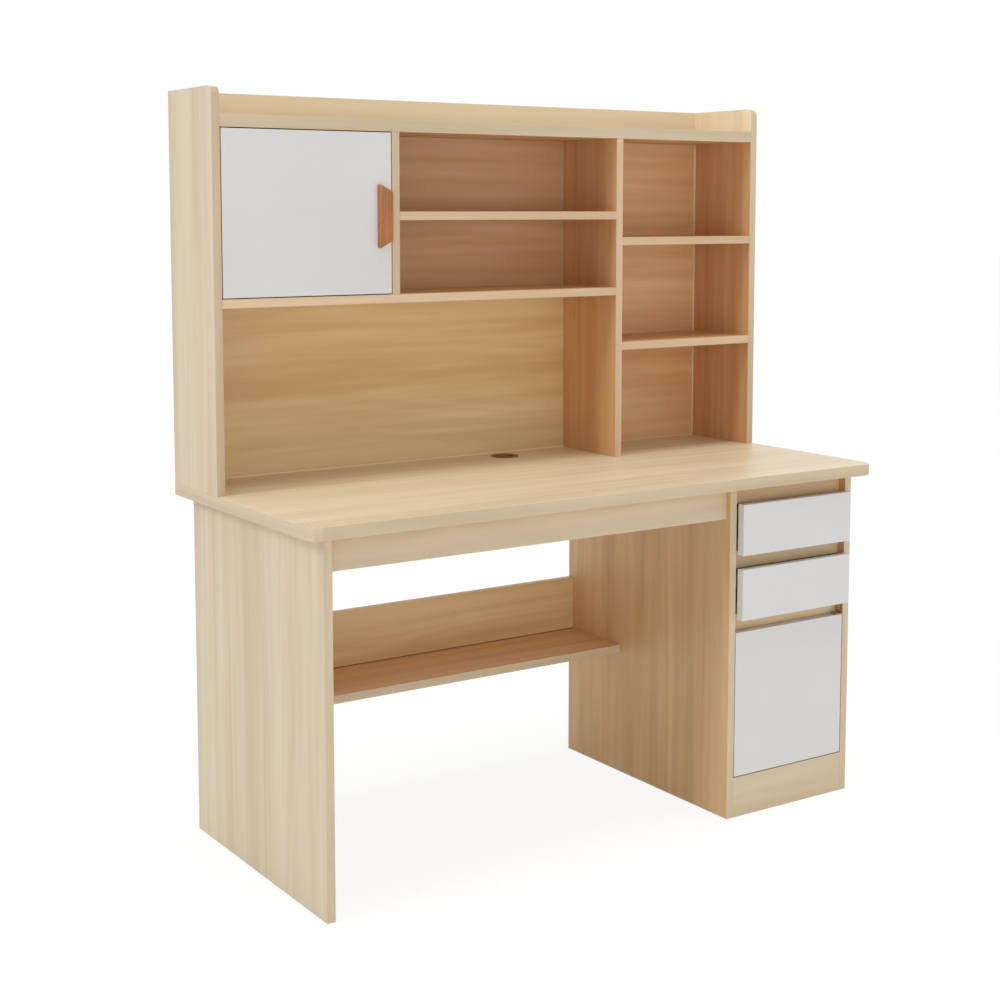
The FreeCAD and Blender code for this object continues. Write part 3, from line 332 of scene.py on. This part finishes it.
# A dark line of painted shadow runs along the modesty panel's foot, this high above the foot shelf
JOINT_SHADOW_HEIGHT = 2.5 * MM
ABOVE_JOINT_SHADOW = (beyond, Z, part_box("foot_shelf")[1].z + JOINT_SHADOW_HEIGHT)
edge_faces = ((FRONT, EDGE), (REAR, EDGE))
lip_bounce_faces = ((FRONT, LIP_BOUNCE), (REAR, LIP_BOUNCE))
stile_shade_faces = ((FRONT, STILE_SHADE), (REAR, EDGE))
BOARDS = {
    "desktop": (X, INSIDE_SHADE, (*edge_faces, (LEFT, EDGE), (RIGHT, EDGE), (OVER, LIT_TOP))),
    "front_apron": (X, EDGE, ()),
    "modesty_panel": (X, JOINT_SHADOW, ((ABOVE_JOINT_SHADOW, LINING_SHADE), (UNDER, LINING_SHADE), (REAR, EDGE))),
    "foot_shelf": (X, FOOT_SHADE, edge_faces),
    "pedestal_plinth": (X, EDGE, ()),
    "pedestal_bottom": (X, INSIDE_SHADE, edge_faces),
    "pedestal_top_rail": (X, RAIL_LIGHT, ()),
    "pedestal_middle_rail": (X, RAIL_LIGHT, ()),
    "pedestal_lower_rail": (X, LOW_RAIL_LIGHT, ()),
    "hutch_top_board": (X, INSIDE_SHADE, ((FRONT, EDGE), (OVER, EDGE))),
    "hutch_back_panel": (X, LINING_SHADE, ((CUBBIES, CUBBY_SHADE), (NOOKS, NOOK_SHADE), (GALLERY, LIT_CROWN), (REAR, EDGE))),
    "hutch_long_shelf": (X, INSIDE_SHADE, lip_bounce_faces),
    "hutch_middle_shelf": (X, INSIDE_SHADE, lip_bounce_faces),
    "hutch_right_upper_shelf": (X, INSIDE_SHADE, lip_bounce_faces),
    "hutch_right_lower_shelf": (X, INSIDE_SHADE, lip_bounce_faces),
    "upper_drawer_back": (X, EDGE, ()),
    "lower_drawer_back": (X, EDGE, ()),
    "upper_drawer_bottom": (X, EDGE, ()),
    "lower_drawer_bottom": (X, EDGE, ()),
    "upper_drawer_left_side": (Y, EDGE, ()),
    "upper_drawer_right_side": (Y, EDGE, ()),
    "lower_drawer_left_side": (Y, EDGE, ()),
    "lower_drawer_right_side": (Y, EDGE, ()),
    "left_leg_panel": (Z, INSIDE_SHADE, (*edge_faces, (LEFT, LIT_SIDE))),
    "pedestal_left_panel": (Z, KNEE_SHADE, edge_faces),
    "pedestal_right_panel": (Z, INSIDE_SHADE, (*edge_faces, (RIGHT, LIT_SIDE))),
    "pedestal_back_panel": (Z, INSIDE_SHADE, ((REAR, EDGE),)),
    "hutch_left_side": (Z, INSIDE_SHADE, ((GALLERY, LIT_CROWN), *stile_shade_faces, (LEFT, LIT_SIDE))),
    "hutch_right_side": (Z, INSIDE_SHADE, ((GALLERY, LIT_CROWN), *edge_faces, (RIGHT, LIT_SIDE))),
    "hutch_short_divider": (Z, INSIDE_SHADE, stile_shade_faces),
    "hutch_main_divider": (Z, INSIDE_SHADE, lip_bounce_faces),
}
PRINT_STEP = (3.1, 5.7, 9.3)
BOARD_GLOSS, DESKTOP_GLOSS = 0.42, 0.34
PULL_GLOSS, DOWEL_GLOSS = 0.4, 0.6
finishes = {}
for count, (board, (grain, print_tones, shown)) in enumerate(BOARDS.items(), start=1):
    start = tuple(step * count for step in PRINT_STEP)
    gloss = DESKTOP_GLOSS if board == "desktop" else BOARD_GLOSS
    finishes[board] = oak_laminate(f"oak_laminate_{board}", grain, start, print_tones, shown, gloss)

white = white_front("white_melamine")
for front in ("hutch_door_panel", "cabinet_door_panel", "upper_drawer_front", "lower_drawer_front"):
    finishes[front] = white
finishes["hutch_door_pull"] = beech("amber_stained_beech", Z, "#B57642", "#9C5E32", PULL_GLOSS)
finishes["dowels"] = beech("raw_beech", Y, "#DDBE92", "#C9A172", DOWEL_GLOSS)
brown_abs = moulded("brown_moulded_abs", "#8E622A", "#784F20")
for fitting in ("cable_grommet", "pivot_bushes", "door_catches"):
    finishes[fitting] = brown_abs
finishes["cabinet_door_bracket"] = moulded("tan_moulded_abs", "#A88046", "#96703A")
zinc = zinc_steel("zinc_plated_steel")
for name, node in nodes.items():
    node.data.materials.clear()
    node.data.materials.append(finishes.get(name, zinc))


# Tools for the modelled pieces

ROLL_STEPS = 4
SMOOTH_ANGLE = math.radians(35)


def choose(kind, test):
    """In edit mode, selects only the faces or the edges whose middle passes the test."""
    bpy.ops.mesh.select_mode(type="FACE" if kind == "faces" else "EDGE")
    bpy.ops.mesh.select_all(action="DESELECT")
    shape = bmesh.from_edit_mesh(bpy.context.object.data)
    for part in getattr(shape, kind):
        middle = sum((v.co for v in part.verts), Vector()) / len(part.verts)
        part.select_set(test(middle, part))
    bmesh.update_edit_mesh(bpy.context.object.data)


def settle(piece, name, body, finish):
    """Puts a piece's place into its mesh, gives it its finish and lets it ride on its body."""
    bpy.ops.object.transform_apply(location=True, rotation=True, scale=True)
    piece.name = name
    piece.data.materials.clear()
    piece.data.materials.append(finish)
    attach(piece, body)


# Cable grommet: a moulded ring with a rolled rim, a dished seat and a sleeve through the desktop

RIM, SEAT, BORE = 31.5 * MM, 26.5 * MM, 24 * MM
FLANGE, SLEEVE, DISH = 2 * MM, 22 * MM, 0.7 * MM
RIM_ROLL, SEAT_ROLL, BORE_ROLL = 1.3 * MM, 0.5 * MM, 0.6 * MM
RING_SIDES = 96
FLAT_LIMIT = 0.9
NEAR = 0.05 * MM
grommet_low, grommet_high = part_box("cable_grommet")
grommet_middle = (grommet_low + grommet_high) / 2
bpy.ops.object.select_all(action="DESELECT")
bpy.ops.mesh.primitive_cylinder_add(
    vertices=RING_SIDES, radius=RIM, depth=FLANGE, end_fill_type="NGON",
    location=(grommet_middle.x, grommet_middle.y, grommet_high.z - FLANGE / 2))
grommet = bpy.context.object
bpy.ops.object.mode_set(mode="EDIT")
# The top is dished and bored through
choose("faces", lambda middle, face: face.normal.z > FLAT_LIMIT)
bpy.ops.mesh.inset(thickness=RIM - SEAT)
bpy.ops.transform.translate(value=(0, 0, -DISH))
bpy.ops.mesh.inset(thickness=SEAT - BORE)
bpy.ops.mesh.extrude_region_move(TRANSFORM_OT_translate={"value": (0, 0, DISH - FLANGE - SLEEVE)})
bpy.ops.mesh.delete(type="ONLY_FACE")
# The sleeve is drawn down from the underside to the end of the bore
choose("faces", lambda middle, face: len(face.verts) > 4 and face.normal.z < -FLAT_LIMIT)
bpy.ops.mesh.inset(thickness=RIM - SEAT)
bpy.ops.mesh.extrude_region_move(TRANSFORM_OT_translate={"value": (0, 0, -SLEEVE)})
bpy.ops.mesh.inset(thickness=SEAT - BORE)
bpy.ops.mesh.delete(type="ONLY_FACE")
bpy.ops.mesh.select_all(action="SELECT")
bpy.ops.mesh.remove_doubles(threshold=NEAR)
bpy.ops.mesh.normals_make_consistent(inside=False)
for radius, height, roll in ((RIM, FLANGE / 2, RIM_ROLL), (SEAT, FLANGE / 2, SEAT_ROLL),
                             (BORE, FLANGE / 2 - DISH, BORE_ROLL)):
    choose("edges", lambda middle, edge: all(
        abs(v.co.z - height) < NEAR and abs(v.co.xy.length - radius) < NEAR for v in edge.verts))
    bpy.ops.mesh.bevel(offset=roll, segments=ROLL_STEPS)
bpy.ops.object.mode_set(mode="OBJECT")
bpy.ops.object.shade_smooth_by_angle(angle=SMOOTH_ANGLE)
settle(grommet, "moulded_grommet", "desk", brown_abs)
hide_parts("cable_grommet")


# Corner beads: thin strips that close the back panel's foot and its right-hand corner. Their pale tone is a
# painted highlight.

BEAD, BEAD_ROLL = 3.5 * MM, 2 * MM
BEAD_START = (1.0, 2.0, 3.0)
OUTER_SHARE = 0.4
back_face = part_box("hutch_back_panel")[0].y
desk_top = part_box("desktop")[1].z
left_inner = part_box("hutch_left_side")[1].x
right_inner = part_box("hutch_right_side")[0].x
divider_left, divider_right = (corner.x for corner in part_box("hutch_main_divider"))
lower_shelf, upper_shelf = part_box("hutch_right_lower_shelf"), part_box("hutch_right_upper_shelf")
foot = (desk_top, desk_top + BEAD)
right_corner = (right_inner - BEAD, right_inner)
# Each strip's reach in width and in height, and the way that its rolled edge looks
ALONG_FOOT, UP_CORNER = (0, -1, 1), (-1, -1, 0)
beads = [
    ((left_inner, divider_left), foot, ALONG_FOOT),
    ((divider_right, right_inner), foot, ALONG_FOOT),
    (right_corner, (foot[1], lower_shelf[0].z), UP_CORNER),
    (right_corner, (lower_shelf[1].z, upper_shelf[0].z), UP_CORNER),
    (right_corner, (upper_shelf[1].z, top_low.z), UP_CORNER),
]
strips = []
for (x0, x1), (z0, z1), outward in beads:
    bpy.ops.object.select_all(action="DESELECT")
    size = Vector((x1 - x0, BEAD, z1 - z0))
    bpy.ops.mesh.primitive_cube_add(
        size=1, location=((x0 + x1) / 2, back_face - BEAD / 2, (z0 + z1) / 2), scale=size)
    bpy.ops.object.transform_apply(location=False, rotation=False, scale=True)
    bpy.ops.object.mode_set(mode="EDIT")
    choose("edges", lambda middle, edge: all(
        middle[axis] * way > OUTER_SHARE * size[axis] for axis, way in enumerate(outward) if way))
    bpy.ops.mesh.bevel(offset=BEAD_ROLL, segments=ROLL_STEPS)
    bpy.ops.object.mode_set(mode="OBJECT")
    strips.append(bpy.context.object)
for strip in strips:
    strip.select_set(True)
bpy.ops.object.join()
bpy.ops.object.shade_smooth_by_angle(angle=SMOOTH_ANGLE)
# Pale print for the beads: a painted highlight
bead_highlight_finish = oak_laminate("oak_laminate_bead_highlight", X, BEAD_START, BEAD_HIGHLIGHT, (), BOARD_GLOSS)
settle(bpy.context.object, "back_panel_beads", "desk", bead_highlight_finish)


# Studio: pale floor, white surround, light from above, the left and the front, camera of the photograph

SURROUND = 0.5
FLOOR_SIZE = 80
FLOOR_PAINT, FLOOR_GLOW, GLOW_SHARE = "#FAFAFA", 1.02, 0.87
WHITE_LIGHT = (1, 1, 1, 1)
LAMP_SIZE = 2.6


def seen_rays(tree):
    """1 on the rays that see a surface, straight or by way of gloss or glass, and 0 on those that light it."""
    path = add(tree, "ShaderNodeLightPath").outputs
    straight = add(tree, "ShaderNodeMath", {0: path["Is Camera Ray"], 1: path["Is Glossy Ray"]},
                   operation="MAXIMUM")
    return add(tree, "ShaderNodeMath", {0: straight.outputs[0], 1: path["Is Transmission Ray"]},
               operation="MAXIMUM").outputs[0]


def lamp(name, kind, place, aim, **settings):
    """Adds a lamp that looks at its aim."""
    bpy.ops.object.light_add(type=kind, location=place)
    made = bpy.context.object
    made.name = name
    made.rotation_euler = (Vector(aim) - Vector(place)).to_track_quat("-Z", "Y").to_euler()
    for key, value in settings.items():
        setattr(made.data, key, value)


scene = bpy.context.scene
scene.view_settings.view_transform = "Standard"
world = bpy.data.worlds.new("white_surround")
scene.world = world
world.use_nodes = True
tree = world.node_tree
tree.nodes.clear()
level = add(tree, "ShaderNodeMapRange", {"Value": seen_rays(tree), "To Min": SURROUND, "To Max": 1.0})
glow = add(tree, "ShaderNodeBackground", {"Color": WHITE_LIGHT, "Strength": level.outputs["Result"]})
add(tree, "ShaderNodeOutputWorld", {"Surface": glow.outputs[0]})

bpy.ops.object.select_all(action="DESELECT")
bpy.ops.mesh.primitive_plane_add(size=FLOOR_SIZE, location=(0, 0, 0))
floor = bpy.context.object
floor.name = "floor"
ground = bpy.data.materials.new("pale_floor")
ground.use_nodes = True
tree = ground.node_tree
tree.nodes.clear()
share = add(tree, "ShaderNodeMath", {0: seen_rays(tree), 1: GLOW_SHARE}, operation="MULTIPLY")
matt = add(tree, "ShaderNodeBsdfDiffuse", {"Color": paint(FLOOR_PAINT)})
shine = add(tree, "ShaderNodeEmission", {"Color": WHITE_LIGHT, "Strength": FLOOR_GLOW})
both = add(tree, "ShaderNodeMixShader", {0: share.outputs[0], 1: matt.outputs[0], 2: shine.outputs[0]})
add(tree, "ShaderNodeOutputMaterial", {"Surface": both.outputs[0]})
floor.data.materials.append(ground)

lamp("top_light", "SUN", place=(0, -0.4, 4), aim=(0, 0, 0), energy=1.2, angle=math.radians(24))
lamp("left_light", "AREA", place=(-10.0, -0.8, 7.3), aim=(0, 0, 0.8), energy=336, shape="SQUARE",
     size=LAMP_SIZE)
lamp("front_light", "AREA", place=(-1.0, -5.4, 1.2), aim=(0.2, 0, 0.8), energy=45, shape="SQUARE",
     size=LAMP_SIZE)

PHOTO_PLACE = (-2.03854, -2.92346, 1.30323)
PHOTO_TURN, PHOTO_TILT = 0.58634, 0.09723
PHOTO_LENS, PHOTO_SHIFT, SENSOR = 60.41206, -0.125, 36
bpy.ops.object.camera_add(location=PHOTO_PLACE, rotation=(math.pi / 2 - PHOTO_TILT, 0, -PHOTO_TURN))
camera = bpy.context.object
camera.name = "photo_camera"
camera.data.sensor_width = SENSOR
camera.data.lens = PHOTO_LENS
camera.data.shift_y = PHOTO_SHIFT
scene.camera = camera
